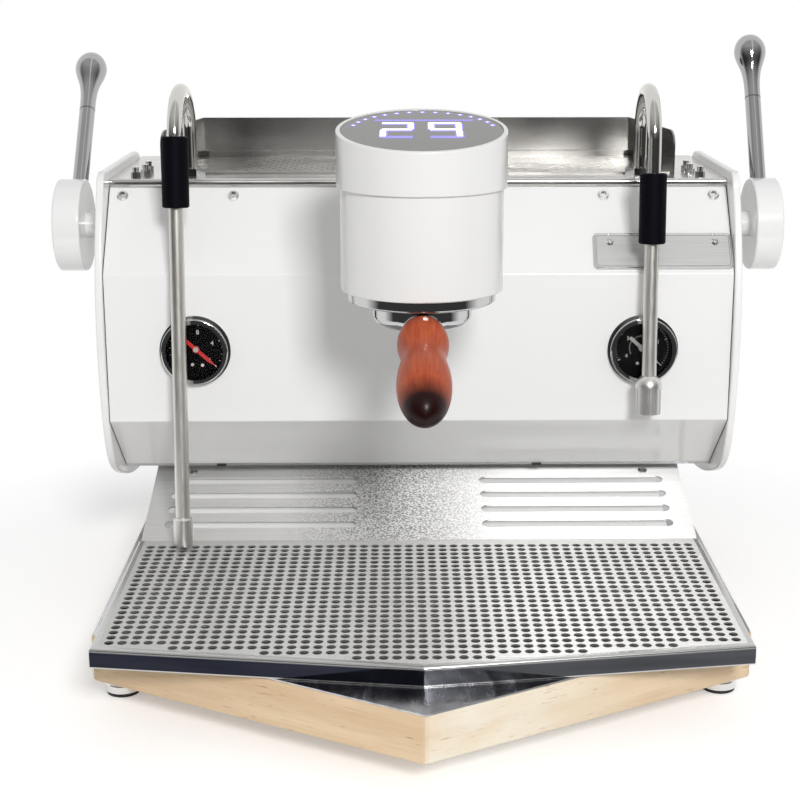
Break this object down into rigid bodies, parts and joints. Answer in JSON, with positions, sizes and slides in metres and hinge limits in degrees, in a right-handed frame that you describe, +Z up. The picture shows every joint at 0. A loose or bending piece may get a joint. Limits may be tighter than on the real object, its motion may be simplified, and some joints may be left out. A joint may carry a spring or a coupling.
{
  "type": "commercial espresso machine",
  "caption": "Commercial espresso machine with a cylindrical group and display, lever taps, steam and water wands, gauges, cup rail, perforated drip tray and a pointed wooden base.",
  "frame": {"origin": "on the counter, under the middle of the machine's box", "axes": "+X to the right seen from the front, where the handle is, +Y to the back, +Z up"},
  "size_m": [0.594, 0.539, 0.4706],
  "materials": {
    "white_coat": "satin white powder coat",
    "knob_white": "gloss",
    "steel": "brushed",
    "bright_steel": "polished",
    "chrome": "polished",
    "pale_wood": "oiled",
    "handle_wood": "lacquered",
    "rubber": "matte",
    "display": "gloss",
    "dial": "matte",
    "glass": "clear",
    "red_paint": "matte",
    "silver_paint": "matte",
    "brass": "machined",
    "dark_plastic": "fine texture",
    "copper_pipe": "drawn"
  },
  "bodies": {
    "machine": {"wood_base": "pale_wood", "base_sheet": "bright_steel", "splash_panel": "steel", "plinth": "white_coat", "front_panel": "white_coat", "panel_screws": "chrome", "name_plate": "steel", "side_panel_left": "white_coat", "side_panel_right": "white_coat", "top_deck": "steel", "deck_nuts": "chrome", "cup_rail": "steel", "cup_floor": "steel", "floor_panel": "steel", "rear_panel": "white_coat", "chassis_frame": "steel", "steam_boiler": "steel", "brew_boiler": "steel", "pump": "brass", "control_box": "dark_plastic", "pipes": "copper_pipe", "group_body": "brass", "group_neck": "white_coat", "group_cover_lower": "white_coat", "group_cover_upper": "white_coat", "display_glass": "display", "group_collar": "chrome", "group_gasket": "rubber", "shower_screen": "steel", "gauge_cases": "chrome", "gauge_dials": "dial", "gauge_glasses": "glass", "tap_valves": "brass", "wand_nuts": "chrome", "rear_fittings": "dark_plastic"},
    "drip_tray": {"drip_tray": "steel"},
    "grate": {"tray_grate": "steel", "tray_rim": "bright_steel"},
    "portafilter": {"portafilter_body": "chrome", "filter_basket": "steel", "portafilter_spout": "chrome", "handle_ferrule": "chrome", "portafilter_handle": "handle_wood"},
    "steam_tap": {"steam_knob": "knob_white", "steam_lever": "chrome"},
    "water_tap": {"water_knob": "knob_white", "water_lever": "chrome"},
    "steam_arm": {"steam_wand": "chrome", "steam_sleeve": "rubber", "steam_tip": "chrome"},
    "water_arm": {"water_wand": "chrome", "water_sleeve": "rubber", "water_nozzle": "chrome"},
    "needle_left": {"gauge_needle_left": "red_paint"},
    "needle_right": {"gauge_needle_right": "silver_paint"},
    "rocker": {"switch_rocker": "dark_plastic"},
    "foot_front_left": {"foot_front_left": "chrome"},
    "foot_front_right": {"foot_front_right": "chrome"},
    "foot_rear_left": {"foot_rear_left": "chrome"},
    "foot_rear_right": {"foot_rear_right": "chrome"}
  },
  "joints": [
    {"name": "tray_slide", "type": "slide", "parent": "machine", "child": "drip_tray", "axis": [0, -1, 0], "range_m": [0, 0.2]},
    {"name": "grate_slide", "type": "slide", "parent": "drip_tray", "child": "grate", "axis": [0, -1, 0], "range_m": [0, 0.2]},
    {"name": "portafilter_lock", "type": "hinge", "parent": "machine", "child": "portafilter", "pos_m": [0, -0.1095, 0.3023], "axis": [0, 0, 1], "range_deg": [-50, 0]},
    {"name": "steam_tap_turn", "type": "hinge", "parent": "machine", "child": "steam_tap", "pos_m": [-0.282, 0.0945, 0.3205], "axis": [1, 0, 0], "range_deg": [0, 60]},
    {"name": "water_tap_turn", "type": "hinge", "parent": "machine", "child": "water_tap", "pos_m": [0.282, 0.0945, 0.3205], "axis": [1, 0, 0], "range_deg": [-10.3, 49.7]},
    {"name": "steam_arm_swing", "type": "hinge", "parent": "machine", "child": "steam_arm", "pos_m": [-0.1861, 0.1005, 0.3595], "axis": [0, 0, 1], "range_deg": [-30, 30]},
    {"name": "water_arm_swing", "type": "hinge", "parent": "machine", "child": "water_arm", "pos_m": [0.1817, 0.1005, 0.3595], "axis": [0, 0, 1], "range_deg": [-30, 30]},
    {"name": "rocker_tilt", "type": "hinge", "parent": "machine", "child": "rocker", "pos_m": [-0.17, 0.2505, 0.1635], "axis": [1, 0, 0], "range_deg": [-20, 0]},
    {"name": "needle_left_turn", "type": "hinge", "parent": "machine", "child": "needle_left", "pos_m": [-0.1788, 0.03125, 0.2284], "axis": [0, -1, 0], "range_deg": [0, 250], "stiffness_Nm_per_rad": 0.0003, "springref_deg": -17.19},
    {"name": "needle_right_turn", "type": "hinge", "parent": "machine", "child": "needle_right", "pos_m": [0.1788, 0.03125, 0.2284], "axis": [0, -1, 0], "range_deg": [0, 250], "stiffness_Nm_per_rad": 0.0003, "springref_deg": -17.19},
    {"name": "foot_front_left_turn", "type": "hinge", "parent": "machine", "child": "foot_front_left", "pos_m": [-0.2225, -0.1035, 0], "axis": [0, 0, 1], "continuous": true},
    {"name": "foot_front_right_turn", "type": "hinge", "parent": "machine", "child": "foot_front_right", "pos_m": [0.2225, -0.1035, 0], "axis": [0, 0, 1], "continuous": true},
    {"name": "foot_rear_left_turn", "type": "hinge", "parent": "machine", "child": "foot_rear_left", "pos_m": [-0.2225, 0.2205, 0], "axis": [0, 0, 1], "continuous": true},
    {"name": "foot_rear_right_turn", "type": "hinge", "parent": "machine", "child": "foot_rear_right", "pos_m": [0.2225, 0.2205, 0], "axis": [0, 0, 1], "continuous": true}
  ]
}
